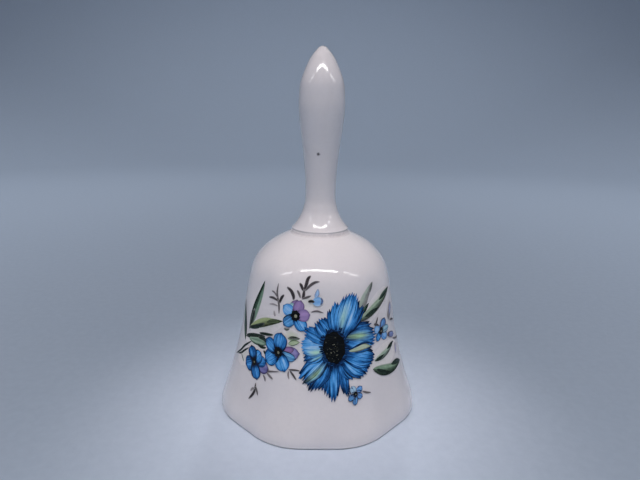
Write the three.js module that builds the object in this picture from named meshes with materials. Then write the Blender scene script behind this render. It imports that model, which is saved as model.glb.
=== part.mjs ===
// A porcelain table bell. The shell has an eight-sided flared skirt under a round dome.
// A hollow handle is luted to its crown, and a glazed bead on a wire and a short chain
// is the clapper. Millimetres, +Z up, origin at the middle of the rim's foot.
import * as THREE from 'three';

// Shell
const SIDES = 8;
const RIM_REACH = 37.5; // middle of the rim to a corner
const CROWN_Z = 64.3; // flat land that the handle stands on
const CROWN_RADIUS = 11;
const CROWN_HOLE = 3.2;
const SHELL_WALL = 2.7;
const CORNER_ROUNDING = 0.61; // corner radius of the skirt, as a share of its reach
const FACETS_END_Z = 45; // the flats start to fade here
const DOME_ROUND_Z = 56; // and the dome is fully round from here up
const FOOT_OUTER_EDGE = 0.7; // rounding of the rim's two edges
const FOOT_INNER_EDGE = 0.6;

// Handle
const TOTAL_HEIGHT = 127.4;
const HANDLE_FOOT_Z = 65.1;
const HANDLE_FOOT_RADIUS = 10.1;
const LIP_RADIUS = 10.35;
const LIP_Z = 65.7;
const HANDLE_WALL = 2.5;
const HANDLE_MOUTH = 7.6; // radius of the cavity where it opens at the foot

// Luting seam between the shell and the handle
const SEAM_THICKNESS = 0.3;
const SEAM_OUTER = 9.7;
const SEAM_INNER = 7.8;

// Cement plug in the crown, spread out below and above its hole
const FIT_GAP = 0.3; // between neighbours that touch on the real bell
const PLUG_FLANGE = 5.4;
const PLUG_WAIST = 4.5; // both ends taper in from the flange through this radius
const PLUG_END = 3;
const PLUG_DEPTH = 2.6; // below the crown's underside
const PLUG_HEIGHT = 2.4; // above its top

// Wire eye cast into the plug
const PIN_WIRE = 0.6; // wire radius
const PIN_EYE = 2; // centre-line radius of the eye
const PIN_EYE_Z = 55.3;
const PIN_NECK_Z = 58.5; // where the wire becomes straight
const PIN_TAIL_Z = 68.4; // height of the bent tail inside the handle
const PIN_BEND = 1.3;
const PIN_TAIL_REACH = 3.4;

// Chain
const LINK_COUNT = 3;
const CHAIN_WIRE = 0.55; // wire radius of the links and of the clapper
const LINK_LENGTH = 6; // centre-line length and width of a link
const LINK_WIDTH = 3.6;
const CHAIN_PLAY = 0.2; // gap between the wires of two links

// Clapper
const CLAPPER_EYE = 1.8;
const CLAPPER_NECK = 1; // from the eye down to the straight shank
const BEAD_RADIUS = 6.5;
const BEAD_BORE = 0.9;
const BEAD_Z = 14.5;
const CURL_RADIUS = 1.3; // curl of wire that holds the bead up

// An eye's loop stays this far open, in radians, at its cut end and beside the straight wire
const EYE_OPENING = 0.95;
const EYE_SHOULDER = 0.35;

// Fineness
const SHELL_STEPS = 48;
const ROUND_STEPS = 28;
const BEAD_STEPS = 20;
const BEAD_ROWS = 14;
const WIRE_SIDES = 8;
const EDGE_STEPS = 3;
const PIN_STEPS = 36;
const LINK_STEPS = 24;
const CLAPPER_STEPS = 54;

const QUARTER = Math.PI / 2;

const porcelain = { color: 0xe2dde0, roughness: 0.12, metalness: 0 };
const seamSlip = { color: 0xc9c0c0, roughness: 0.3, metalness: 0 };
const plaster = { color: 0xd8d2c4, roughness: 0.9, metalness: 0 };
const steel = { color: 0xb4b6b8, roughness: 0.35, metalness: 1 };

const bell = new THREE.Group();

function addPiece(name, geometry, finish) {
  const mesh = new THREE.Mesh(geometry, new THREE.MeshStandardMaterial(finish));
  mesh.name = name;
  bell.add(mesh);
  return mesh;
}

function point(radius, height) {
  return new THREE.Vector2(radius, height);
}

// Turns a profile about Z. The profile runs up the outside and down the inside.
function turned(profile, steps) {
  const geometry = new THREE.LatheGeometry(profile, steps);
  geometry.rotateX(QUARTER);
  return geometry;
}

function roundedEdge(from, corner, to) {
  return new THREE.QuadraticBezierCurve(from, corner, to).getPoints(EDGE_STEPS);
}

// The same outline moved in by the wall's thickness, top point first.
function insideOf(curve, steps, wall) {
  const points = [];
  for (let i = steps; i >= 0; i -= 1) {
    const at = curve.getPoint(i / steps);
    const along = curve.getTangent(i / steps);
    points.push(point(at.x - along.y * wall, at.y + along.x * wall));
  }
  return points;
}

// Distance from the axis to a regular outline whose rounded corners reach 1.
function outlineReach(angle, rounding) {
  const half = Math.PI / SIDES;
  const turn = THREE.MathUtils.euclideanModulo(angle + half, 2 * half) - half;
  const centre = 1 - rounding;
  const apothem = centre * Math.cos(half) + rounding;
  if (apothem * Math.abs(Math.tan(turn)) <= centre * Math.sin(half)) {
    return apothem / Math.cos(turn);
  }
  const fromCorner = half - Math.abs(turn);
  const across = centre * Math.sin(fromCorner);
  return centre * Math.cos(fromCorner) + Math.sqrt(rounding ** 2 - across ** 2);
}

// Presses a turned shell into its flat sides, which fade out into the dome.
function pressSides(geometry) {
  const position = geometry.getAttribute('position');
  for (let i = 0; i < position.count; i += 1) {
    const x = position.getX(i);
    const y = position.getY(i);
    const fade = THREE.MathUtils.smoothstep(position.getZ(i), FACETS_END_Z, DOME_ROUND_Z);
    const rounding = THREE.MathUtils.lerp(CORNER_ROUNDING, 1, fade);
    const reach = outlineReach(Math.atan2(y, x), rounding);
    position.setXY(i, x * reach, y * reach);
  }
  geometry.computeVertexNormals();
}

function shellGeometry() {
  const outside = new THREE.SplineCurve([
    point(RIM_REACH, FOOT_OUTER_EDGE),
    point(36.8, 4.5),
    point(33.3, 15),
    point(29.3, 30),
    point(27.4, 42),
    point(24.4, 53.2),
    point(18.7, 60),
    point(CROWN_RADIUS, CROWN_Z),
  ]);
  const spans = outside.points.length - 1;
  const outer = outside.getPoints(3 * spans);
  const inner = insideOf(outside, 2 * spans, SHELL_WALL);
  const innerRim = inner.pop().x;
  const footOuter = point(RIM_REACH - FOOT_OUTER_EDGE, 0);
  const footInner = point(innerRim + FOOT_INNER_EDGE, 0);
  const profile = [
    ...roundedEdge(footOuter, point(RIM_REACH, 0), outer[0]),
    ...outer.slice(1),
    point(CROWN_HOLE, CROWN_Z),
    point(CROWN_HOLE, CROWN_Z - SHELL_WALL),
    ...inner,
    ...roundedEdge(point(innerRim, FOOT_INNER_EDGE), point(innerRim, 0), footInner),
    footOuter,
  ];
  const geometry = turned(profile, SHELL_STEPS);
  pressSides(geometry);
  return geometry;
}

// A waisted grip with a pointed top, cast hollow and open at its foot.
function handleGeometry() {
  const outside = new THREE.SplineCurve([
    point(LIP_RADIUS, LIP_Z),
    point(9.1, 67.5),
    point(7.3, 70.1),
    point(6.1, 73.1),
    point(5.4, 78),
    point(6.05, 90),
    point(7.85, 104.5),
    point(7.95, 111),
    point(7.2, 116.6),
    point(4.6, 123),
    point(1.9, 126.7),
    point(0, TOTAL_HEIGHT),
  ]);
  const spans = outside.points.length - 1;
  const isInside = (at) => at.x > HANDLE_WALL / 2 && at.y > HANDLE_FOOT_Z + HANDLE_WALL;
  const cavity = insideOf(outside, spans, HANDLE_WALL).filter(isInside);
  const cavityTop = point(0, cavity[0].y + cavity[0].x / 2);
  const profile = [
    cavityTop,
    ...cavity,
    point(HANDLE_MOUTH, HANDLE_FOOT_Z),
    point(HANDLE_FOOT_RADIUS, HANDLE_FOOT_Z),
    ...outside.getPoints(2 * spans),
  ];
  return turned(profile, ROUND_STEPS);
}

function seamGeometry() {
  const bottom = (CROWN_Z + HANDLE_FOOT_Z - SEAM_THICKNESS) / 2;
  const top = bottom + SEAM_THICKNESS;
  const profile = [
    point(SEAM_INNER, bottom),
    point(SEAM_OUTER, bottom),
    point(SEAM_OUTER, top),
    point(SEAM_INNER, top),
    point(SEAM_INNER, bottom),
  ];
  return turned(profile, ROUND_STEPS);
}

function plugGeometry() {
  const bore = PIN_WIRE + FIT_GAP;
  const stem = CROWN_HOLE - FIT_GAP;
  const underside = CROWN_Z - SHELL_WALL - FIT_GAP;
  const topside = CROWN_Z + FIT_GAP;
  const profile = [
    point(bore, underside - PLUG_DEPTH),
    point(PLUG_END, underside - PLUG_DEPTH),
    point(PLUG_WAIST, underside - 0.7 * PLUG_DEPTH),
    point(PLUG_FLANGE, underside),
    point(stem, underside),
    point(stem, topside),
    point(PLUG_FLANGE, topside),
    point(PLUG_WAIST, topside + 0.7 * PLUG_HEIGHT),
    point(PLUG_END, topside + PLUG_HEIGHT),
    point(bore, topside + PLUG_HEIGHT),
    point(bore, underside - PLUG_DEPTH),
  ];
  return turned(profile, BEAD_STEPS);
}

function bentWire(points, radius, steps) {
  const corners = [];
  for (let i = 0; i < WIRE_SIDES; i += 1) {
    const angle = (4 * QUARTER * i) / WIRE_SIDES;
    corners.push(point(radius * Math.cos(angle), radius * Math.sin(angle)));
  }
  const extrudePath = new THREE.CatmullRomCurve3(points);
  const options = { extrudePath, steps, bevelEnabled: false };
  return new THREE.ExtrudeGeometry(new THREE.Shape(corners), options);
}

// Points round an arc in the XZ plane. Angles are measured from +X towards +Z.
function arcPoints(radius, height, from, to, count) {
  const points = [];
  for (let i = 0; i <= count; i += 1) {
    const angle = THREE.MathUtils.lerp(from, to, i / count);
    points.push(new THREE.Vector3(radius * Math.cos(angle), 0, height + radius * Math.sin(angle)));
  }
  return points;
}

function axisPoints(heights) {
  return heights.map((height) => new THREE.Vector3(0, 0, height));
}

// The eye is bent round a link, and its tail goes up through the cement and over its top.
function pinGeometry() {
  const eye = arcPoints(PIN_EYE, PIN_EYE_Z, QUARTER - EYE_OPENING, EYE_SHOULDER - 3 * QUARTER, 14);
  const tail = axisPoints([PIN_NECK_Z, 61, 64.5, PIN_TAIL_Z - PIN_BEND]);
  const bend = [
    new THREE.Vector3(0.35 * PIN_BEND, 0, PIN_TAIL_Z - 0.3 * PIN_BEND),
    new THREE.Vector3(PIN_BEND, 0, PIN_TAIL_Z),
    new THREE.Vector3(PIN_TAIL_REACH, 0, PIN_TAIL_Z),
  ];
  return bentWire([...eye, ...tail, ...bend], PIN_WIRE, PIN_STEPS);
}

// Closed centre line of a link: two half rounds and two straight runs.
class LinkLine extends THREE.Curve {
  getPoint(t, target = new THREE.Vector3()) {
    const radius = LINK_WIDTH / 2;
    const straight = LINK_LENGTH - LINK_WIDTH;
    const halfLap = straight + Math.PI * radius;
    const side = t < 0.5 ? 1 : -1;
    const along = THREE.MathUtils.euclideanModulo(t, 0.5) * 2 * halfLap;
    if (along <= straight) {
      return target.set(side * radius, 0, side * (along - straight / 2));
    }
    const angle = (along - straight) / radius;
    const height = straight / 2 + radius * Math.sin(angle);
    return target.set(side * radius * Math.cos(angle), 0, side * height);
  }
}

function linkGeometry() {
  return new THREE.TubeGeometry(new LinkLine(), LINK_STEPS, CHAIN_WIRE, WIRE_SIDES, true);
}

// Top eye, straight shank through the bead, and a curl of wire under it.
function clapperGeometry(eyeTop) {
  const eyeZ = eyeTop - CLAPPER_EYE;
  const beadTop = BEAD_Z + BEAD_RADIUS;
  const beadBottom = BEAD_Z - BEAD_RADIUS;
  const curlZ = beadBottom - CURL_RADIUS - CHAIN_WIRE;
  const neckZ = eyeZ - CLAPPER_EYE - CLAPPER_NECK;
  const eye = arcPoints(CLAPPER_EYE, eyeZ, EYE_OPENING - QUARTER, 3 * QUARTER - EYE_SHOULDER, 12);
  const shank = axisPoints([neckZ, (neckZ + beadTop) / 2, beadTop, BEAD_Z, beadBottom + 1]);
  const curl = arcPoints(CURL_RADIUS, curlZ, QUARTER - EYE_SHOULDER, EYE_OPENING - 3 * QUARTER, 9);
  return bentWire([...eye, ...shank, ...curl], CHAIN_WIRE, CLAPPER_STEPS);
}

function beadGeometry() {
  const profile = [];
  const endLatitude = Math.acos(BEAD_BORE / BEAD_RADIUS);
  for (let i = 0; i <= BEAD_ROWS; i += 1) {
    const latitude = THREE.MathUtils.lerp(-endLatitude, endLatitude, i / BEAD_ROWS);
    profile.push(point(BEAD_RADIUS * Math.cos(latitude), BEAD_RADIUS * Math.sin(latitude)));
  }
  profile.push(profile[0].clone());
  return turned(profile, BEAD_STEPS);
}

addPiece('bell_shell', shellGeometry(), porcelain);
addPiece('handle', handleGeometry(), porcelain);
addPiece('handle_seam', seamGeometry(), seamSlip);
addPiece('hanger_cement', plugGeometry(), plaster);
addPiece('hanger_eye', pinGeometry(), steel);

// Each link hangs with its top inside the wire above, turned a quarter from it.
let wireAboveZ = PIN_EYE_Z - PIN_EYE;
let wireAbove = PIN_WIRE;
for (let i = 0; i < LINK_COUNT; i += 1) {
  const topZ = wireAboveZ + wireAbove + CHAIN_PLAY + CHAIN_WIRE;
  const link = addPiece(`chain_link_${i + 1}`, linkGeometry(), steel);
  link.position.z = topZ - LINK_LENGTH / 2;
  link.rotation.z = i % 2 === 0 ? QUARTER : 0;
  wireAboveZ = topZ - LINK_LENGTH;
  wireAbove = CHAIN_WIRE;
}

addPiece('clapper_wire', clapperGeometry(wireAboveZ + 2 * CHAIN_WIRE + CHAIN_PLAY), steel);
addPiece('clapper_bead', beadGeometry(), porcelain).position.z = BEAD_Z;

export default bell;
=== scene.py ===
import math

import bpy
import numpy as np
from mathutils import Matrix, Vector


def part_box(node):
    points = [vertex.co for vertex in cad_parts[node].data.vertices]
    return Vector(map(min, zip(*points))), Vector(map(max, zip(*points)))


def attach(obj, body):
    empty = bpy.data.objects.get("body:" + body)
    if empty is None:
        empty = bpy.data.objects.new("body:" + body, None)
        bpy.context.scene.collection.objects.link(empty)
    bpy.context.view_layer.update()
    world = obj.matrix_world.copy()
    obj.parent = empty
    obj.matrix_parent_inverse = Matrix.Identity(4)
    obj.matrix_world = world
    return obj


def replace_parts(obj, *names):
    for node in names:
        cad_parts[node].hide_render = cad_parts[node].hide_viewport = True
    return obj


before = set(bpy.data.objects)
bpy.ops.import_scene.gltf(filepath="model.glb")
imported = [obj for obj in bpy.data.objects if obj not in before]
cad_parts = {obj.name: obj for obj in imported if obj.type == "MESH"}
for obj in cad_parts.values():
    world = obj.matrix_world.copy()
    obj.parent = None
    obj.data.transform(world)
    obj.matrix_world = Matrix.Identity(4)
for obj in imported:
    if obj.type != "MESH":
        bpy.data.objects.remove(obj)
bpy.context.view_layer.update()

MM = 0.001
QUARTER = math.pi / 2

shell_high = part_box("bell_shell")[1]
handle_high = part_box("handle")[1]
CROWN_Z = shell_high.z
TIP_Z = handle_high.z

# Shell
SIDES = 8
SHELL_WALL = 2.7 * MM
CROWN_RADIUS = 11 * MM
CROWN_HOLE = 3.2 * MM
CORNER_ROUNDING = 0.61  # corner radius of the skirt, as a share of its reach
FACETS_END_Z = 45 * MM  # the flats fade from here up
DOME_ROUND_Z = 56 * MM
HALF_SIDE = math.pi / SIDES
FLAT_SHARE = (1 - CORNER_ROUNDING) * math.cos(HALF_SIDE) + CORNER_ROUNDING
RIM_REACH = shell_high.x / FLAT_SHARE  # middle of the rim to a corner
EDGE = 0.7 * MM  # rounding of the rim's edges
SHELL_COLUMNS = 256

# Handle
LIP_RADIUS = handle_high.x - 0.15 * MM
LIP_Z = 66 * MM
HANDLE_WALL = 2.5 * MM
HANDLE_MOUTH = 7.6 * MM
HANDLE_FOOT_Z = 64.75 * MM  # the joint below it is filled with slip
HANDLE_COLUMNS = 128

# Hanger, chain and clapper
PIN_WIRE = 0.6 * MM
PIN_EYE = 2 * MM
PIN_EYE_Z = 55.3 * MM
PIN_BEND = 1.3 * MM
PIN_BEND_Z = 67.1 * MM
PIN_TAIL_Z = 68.4 * MM  # the bent tail lies at this height, inside the plug
WIRE_SIDES = 14
CHAIN_WIRE = 0.55 * MM
LINK_LENGTH = 6 * MM
LINK_WIDTH = 3.6 * MM
LINK_TOPS = [54.65 * MM, 49.95 * MM, 45.25 * MM]
CLAPPER_EYE = 1.8 * MM
CLAPPER_EYE_Z = 38.75 * MM
CURL_RADIUS = 1.3 * MM  # the curl of wire that holds the bead up
CURL_Z = 6.15 * MM
BEAD_BORE = 0.75 * MM
EYE_OPENING = 0.95  # radians left open where an eye's cut end meets the straight wire
EYE_SHOULDER = 0.35  # radians short of the straight wire at which the eye's round ends

# Print
FRONT = -math.pi / 2
PRINT_LIFT = 0.03 * MM  # lowest ink above the glaze
INK_STEP = 0.004 * MM  # between one mark and the next over it
PRINT_REACH = 0.985  # mean reach of a pressed side, as a share of its corners' reach
STROKE_APART = 7.3  # between the brush patterns of two marks, so that no two are alike


# ---------------------------------------------------------------- camera, floor, light

SENSOR_MM = 36
FOCAL_MM = 26.76
CAMERA_AT = (-2.86 * MM, -168.7 * MM, 104.05 * MM)
CAMERA_DOWN = math.radians(14.34)
CAMERA_TURN = math.radians(-1.0)
CAMERA_ROLL = math.radians(0.93)

BELL_MIDDLE = (0, 0, 0.06)
BELL_SHOULDER = (0, 0, 0.052)
TUBE_Y, TUBE_Z = -0.30, 0.55  # the three tubes hang in one line in front of the bell
TUBE_WHITE = (1, 0.97, 0.96)
SPOT_SIZE = 0.06
SWEEP_COUNT = 4
SWEEP_WHITE = (0.9, 0.95, 1)
WORLD_COLOUR = (0.70, 0.85, 1.0, 1)
WORLD_STRENGTH = 0.10


def make_camera():
    data = bpy.data.cameras.new("camera")
    data.sensor_width = SENSOR_MM
    data.lens = FOCAL_MM
    data.clip_start = 0.005
    data.clip_end = 20
    camera = bpy.data.objects.new("camera", data)
    bpy.context.scene.collection.objects.link(camera)
    turn = Matrix.Rotation(CAMERA_TURN, 4, "Z")
    tilt = Matrix.Rotation(math.pi / 2 - CAMERA_DOWN, 4, "X")
    roll = Matrix.Rotation(CAMERA_ROLL, 4, "Z")
    camera.matrix_world = Matrix.Translation(CAMERA_AT) @ turn @ tilt @ roll
    bpy.context.scene.camera = camera


def aimed(light, at, target):
    light.location = at
    light.rotation_euler = (Vector(target) - Vector(at)).to_track_quat("-Z", "Y").to_euler()
    bpy.context.scene.collection.objects.link(light)


def area_light(name, at, target, size, power, colour, shines=True):
    data = bpy.data.lights.new(name, "AREA")
    data.shape = "RECTANGLE"
    data.size, data.size_y = size
    data.energy = power
    data.color = colour
    light = bpy.data.objects.new(name, data)
    light.visible_glossy = shines
    aimed(light, at, target)


def spot_light(name, at, target, cone, power, colour=(1, 1, 1)):
    data = bpy.data.lights.new(name, "SPOT")
    data.spot_size = math.radians(cone)
    data.spot_blend = 1
    data.shadow_soft_size = SPOT_SIZE
    data.energy = power
    data.color = colour
    light = bpy.data.objects.new(name, data)
    light.visible_glossy = False
    aimed(light, at, target)


def make_lights():
    area_light("overhead", (0, -0.2, 1.5), BELL_MIDDLE, (0.9, 0.9), 1.5, TUBE_WHITE, False)
    area_light("tube", (-0.01, TUBE_Y, TUBE_Z), BELL_MIDDLE, (0.54, 0.03), 0.8, TUBE_WHITE)
    for name, x in (("tube_left", -0.70), ("tube_right", 0.64)):
        area_light(name, (x, TUBE_Y, TUBE_Z), (x, 0, 0.06), (0.5, 0.04), 0.3, TUBE_WHITE)
    spot_light("front", (-0.03, -0.60, 0.38), BELL_MIDDLE, 8, 4.5, (1, 0.94, 0.94))
    spot_light("above", (0, -0.10, 0.60), (0, -0.020, 0.05), 10, 17.0, (1, 0.91, 0.91))
    spot_light("back", (0.1, 0.62, 0.36), BELL_SHOULDER, 14, 8.0)
    for i in range(SWEEP_COUNT):
        x, y = math.sin(i * QUARTER), math.cos(i * QUARTER)
        at, target = (0.45 * x, 0.45 * y, 1.3), (1.05 * x, 1.05 * y, 0.05)
        spot_light(f"sweep_{i}", at, target, 100, 25, SWEEP_WHITE)
    world = bpy.data.worlds.new("studio")
    world.use_nodes = True
    background = world.node_tree.nodes["Background"]
    background.inputs["Color"].default_value = WORLD_COLOUR
    background.inputs["Strength"].default_value = WORLD_STRENGTH
    bpy.context.scene.world = world
    bpy.context.scene.view_settings.view_transform = "Standard"


def make_floor():
    """A pale paper sweep: flat under the bell, curving up far behind it on every side."""
    flat, rise, top, columns = 0.9, 0.8, 2, 96
    bend = arc((flat, rise), rise, -90, 0, 24)
    profile = np.vstack([[(0.02, 0)], [(flat * i / 8, 0) for i in range(1, 8)], bend, [(flat + rise, top)]])
    angles = np.linspace(0, 2 * np.pi, columns, endpoint=False)
    x = profile[:, 0, None] * np.cos(angles)
    y = profile[:, 0, None] * np.sin(angles)
    z = np.broadcast_to(profile[:, 1, None], x.shape)
    points = np.stack([x, y, z], -1).reshape(-1, 3)
    faces = ring_faces(len(profile), columns, False) + [tuple(range(columns))]
    mesh = bpy.data.meshes.new("floor")
    mesh.from_pydata([tuple(p) for p in points], [], faces)
    mesh.materials.append(paper_material())
    mesh.shade_smooth()
    floor = bpy.data.objects.new("floor", mesh)
    bpy.context.scene.collection.objects.link(floor)


# ---------------------------------------------------------------- materials


def node(tree, kind, inputs=None, **settings):
    """Adds a node. An input is a value, or another node's socket to link; returns outputs."""
    made = tree.nodes.new("ShaderNode" + kind)
    for name, value in settings.items():
        setattr(made, name, value)
    for name, value in (inputs or {}).items():
        if isinstance(value, bpy.types.NodeSocket):
            tree.links.new(value, made.inputs[name])
        else:
            made.inputs[name].default_value = value
    return made.outputs


def new_material(name):
    material = bpy.data.materials.new(name)
    material.use_nodes = True
    tree = material.node_tree
    return material, tree, tree.nodes["Principled BSDF"]


def noise_of(tree, where, scale, detail, rough=0.5):
    inputs = {"Vector": where, "Scale": scale, "Detail": detail, "Roughness": rough}
    return node(tree, "TexNoise", inputs)["Fac"]


def mixed(tree, factor, first, second):
    inputs = {0: factor, 6: first, 7: second}
    return node(tree, "Mix", inputs, data_type="RGBA")[2]


def spread(tree, value, low, high, to_low=0.0, to_high=1.0):
    inputs = {"Value": value, "From Min": low, "From Max": high, "To Min": to_low, "To Max": to_high}
    return node(tree, "MapRange", inputs)["Result"]


def ramp(tree, factor, stops):
    outputs = node(tree, "ValToRGB", {"Fac": factor})
    elements = outputs[0].node.color_ramp.elements
    for i, (position, colour) in enumerate(stops):
        element = elements[i] if i < 2 else elements.new(position)
        element.position = position
        element.color = (*colour, 1)
    return outputs["Color"]


def bumped(tree, shader, height, strength, distance):
    inputs = {"Height": height, "Strength": strength, "Distance": distance}
    tree.links.new(node(tree, "Bump", inputs)["Normal"], shader.inputs["Normal"])


def object_place(tree):
    return node(tree, "TexCoord")["Object"]


def glaze_material(name, white, shade, foot_z=None, fault_at=None):
    """White glaze: faint clouds and iron specks, an uneven gloss, a fault and a bare foot."""
    material, tree, shader = new_material(name)
    place = object_place(tree)
    clouds = spread(tree, noise_of(tree, place, 55, 4), 0.35, 0.65)
    colour = mixed(tree, clouds, (*white, 1), (*shade, 1))
    fine = spread(tree, noise_of(tree, place, 900, 2), 0.45, 0.75, 0, 0.25)
    colour = mixed(tree, fine, colour, (*[0.93 * part for part in shade], 1))
    cells = node(tree, "TexVoronoi", {"Vector": place, "Scale": 260.0})
    chosen = spread(tree, node(tree, "SeparateColor", {"Color": cells["Color"]})[0], 0.95, 0.96)
    close = spread(tree, cells["Distance"], 0.035, 0.02)
    speck = node(tree, "Math", {0: chosen, 1: close}, operation="MULTIPLY")[0]
    colour = mixed(tree, speck, colour, (0.16, 0.12, 0.10, 1))
    if fault_at is not None:
        away = node(tree, "VectorMath", {0: place, 1: fault_at}, operation="DISTANCE")["Value"]
        ragged = spread(tree, noise_of(tree, place, 1800, 2), 0, 1, -0.2 * MM, 0.2 * MM)
        reach = node(tree, "Math", {0: away, 1: ragged}, operation="ADD")[0]
        colour = mixed(tree, spread(tree, reach, 0.75 * MM, 0.35 * MM), colour, (0.07, 0.06, 0.06, 1))
    gloss = spread(tree, noise_of(tree, place, 140, 3), 0.3, 0.7, 0.10, 0.18)
    ripple = noise_of(tree, place, 160, 2)
    if foot_z is not None:
        height = node(tree, "SeparateXYZ", {"Vector": place})["Z"]
        edge = noise_of(tree, place, 500, 2)
        wander = spread(tree, edge, 0, 1, -0.1 * MM, 0.1 * MM)
        line = node(tree, "Math", {0: height, 1: wander}, operation="ADD")[0]
        bare = spread(tree, line, foot_z + 0.08 * MM, foot_z - 0.02 * MM)
        grit = spread(tree, noise_of(tree, place, 2600, 4, 0.7), 0.3, 0.7)
        clay = mixed(tree, grit, (0.60, 0.55, 0.48, 1), (0.78, 0.73, 0.66, 1))
        colour = mixed(tree, bare, colour, clay)
        gloss = node(tree, "Mix", {0: bare, 2: gloss, 3: 0.75}, data_type="FLOAT")[0]
    tree.links.new(colour, shader.inputs["Base Color"])
    tree.links.new(gloss, shader.inputs["Roughness"])
    bumped(tree, shader, ripple, 0.12, 0.3 * MM)
    shader.inputs["Coat Weight"].default_value = 1
    shader.inputs["Coat Roughness"].default_value = 0.04
    return material


def slip_and_shade_material():
    material, tree, shader = new_material("seam_slip")
    place = object_place(tree)
    slip_blotch = spread(tree, noise_of(tree, place, 700, 4), 0.35, 0.7)
    # Both slip colours are painted darker than the glaze: painted shade for the crease under the handle's
    # lip, over the slip's own blotchy tone.
    colour = mixed(tree, slip_blotch, (0.78, 0.73, 0.73, 1), (0.66, 0.61, 0.61, 1))
    tree.links.new(colour, shader.inputs["Base Color"])
    tree.links.new(spread(tree, slip_blotch, 0, 1, 0.16, 0.34), shader.inputs["Roughness"])
    bumped(tree, shader, noise_of(tree, place, 1500, 3), 0.3, 0.1 * MM)
    return material


def plaster_material():
    material, tree, shader = new_material("hanger_plaster")
    place = object_place(tree)
    patches = spread(tree, noise_of(tree, place, 500, 5, 0.6), 0.3, 0.7)
    colour = mixed(tree, patches, (0.74, 0.70, 0.61, 1), (0.55, 0.51, 0.44, 1))
    pits = node(tree, "TexVoronoi", {"Vector": place, "Scale": 1400.0})["Distance"]
    hole = spread(tree, pits, 0.22, 0.08)
    # The pits are painted dark: painted shade in the pits.
    colour = mixed(tree, hole, colour, (0.30, 0.27, 0.23, 1))
    tree.links.new(colour, shader.inputs["Base Color"])
    tree.links.new(spread(tree, patches, 0, 1, 0.8, 0.95), shader.inputs["Roughness"])
    grain = noise_of(tree, place, 2500, 5, 0.7)
    depth = node(tree, "Math", {0: grain, 1: hole}, operation="SUBTRACT")[0]
    bumped(tree, shader, depth, 0.6, 0.12 * MM)
    return material


def steel_material():
    """Drawn wire: fine lines along its length, dull patches and a little brown tarnish."""
    material, tree, shader = new_material("drawn_steel")
    place = object_place(tree)
    along = node(tree, "Attribute", attribute_name="stroke")["Vector"]
    stretched = node(tree, "Mapping", {"Vector": along, "Scale": (0.25, 9.0, 1.0)})["Vector"]
    lines = noise_of(tree, stretched, 1.0, 4, 0.6)
    dull = spread(tree, noise_of(tree, place, 420, 4, 0.6), 0.4, 0.72)
    bright = mixed(tree, lines, (0.62, 0.61, 0.59, 1), (0.46, 0.455, 0.45, 1))
    colour = mixed(tree, dull, bright, (0.25, 0.215, 0.18, 1))
    tree.links.new(colour, shader.inputs["Base Color"])
    tree.links.new(spread(tree, dull, 0, 1, 0.26, 0.55), shader.inputs["Roughness"])
    shader.inputs["Metallic"].default_value = 1
    bumped(tree, shader, lines, 0.25, 0.03 * MM)
    return material


def ink_material(name, stops, tint, streak, across):
    """Printed ink. "tone" runs through the stops, "tint" leans to a second colour, and
    "wash" thins the ink to bare glaze. Brush lines follow "stroke", which is in mm."""
    material, tree, shader = new_material(name)
    stroke = node(tree, "Attribute", attribute_name="stroke")["Vector"]
    scale = {"Vector": stroke, "Scale": (0.22, across, 1.0)}
    lines = noise_of(tree, node(tree, "Mapping", scale)["Vector"], 1.0, 3, 0.6)
    cloud = noise_of(tree, object_place(tree), 700, 3, 0.6)
    tone = node(tree, "Attribute", attribute_name="tone")["Fac"]
    shift = spread(tree, lines, 0.3, 0.7, -streak, streak)
    tone = node(tree, "Math", {0: tone, 1: shift}, operation="ADD")[0]
    drift = spread(tree, cloud, 0.3, 0.7, -0.06, 0.06)
    tone = node(tree, "Math", {0: tone, 1: drift}, operation="ADD")[0]
    colour = ramp(tree, tone, stops)
    lean = node(tree, "Attribute", attribute_name="tint")["Fac"]
    shaded = ramp(tree, tone, [(0, [0.1 * c for c in tint]), (0.75, tint), (1, [1.25 * c for c in tint])])
    colour = mixed(tree, lean, colour, shaded)
    wash = node(tree, "Attribute", attribute_name="wash")["Fac"]
    thin = spread(tree, cloud, 0.3, 0.7, -0.15, 0.15)
    bare = node(tree, "Math", {0: wash, 1: thin}, operation="ADD")[0]
    bare = node(tree, "Mix", {0: wash, 2: wash, 3: bare}, data_type="FLOAT")[0]
    colour = mixed(tree, bare, colour, (*GLAZE_WHITE, 1))
    tree.links.new(colour, shader.inputs["Base Color"])
    tree.links.new(spread(tree, lines, 0.3, 0.7, 0.14, 0.24), shader.inputs["Roughness"])
    bumped(tree, shader, lines, 0.08, 0.03 * MM)
    shader.inputs["Specular IOR Level"].default_value = 0.15
    return material


def paper_material():
    material, tree, shader = new_material("floor_paper")
    place = object_place(tree)
    fibres = spread(tree, noise_of(tree, place, 300, 5, 0.65), 0.35, 0.65)
    colour = mixed(tree, fibres, (0.50, 0.56, 0.66, 1), (0.53, 0.59, 0.69, 1))
    tree.links.new(colour, shader.inputs["Base Color"])
    shader.inputs["Roughness"].default_value = 0.85
    bumped(tree, shader, fibres, 0.05, 0.2 * MM)
    return material


# ---------------------------------------------------------------- shapes


def spline(points, per_span):
    """Catmull-Rom curve through the points, ends included."""
    points = np.array(points, float)
    padded = np.vstack([points[:1], points, points[-1:]])
    out = []
    for i in range(len(points) - 1):
        a, b, c, d = padded[i : i + 4]
        for t in np.arange(per_span) / per_span:
            tangent_b, tangent_c = (c - a) / 2, (d - b) / 2
            out.append(
                (2 * b - 2 * c + tangent_b + tangent_c) * t**3
                + (3 * c - 3 * b - 2 * tangent_b - tangent_c) * t**2
                + tangent_b * t
                + b
            )
    out.append(points[-1])
    return np.array(out)


def arc(centre, radius, start, end, steps):
    """Points round a circle in the profile's plane, angles in degrees from +radius."""
    angles = np.radians(np.linspace(start, end, steps + 1))
    return np.stack([centre[0] + radius * np.cos(angles), centre[1] + radius * np.sin(angles)], 1)


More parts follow.
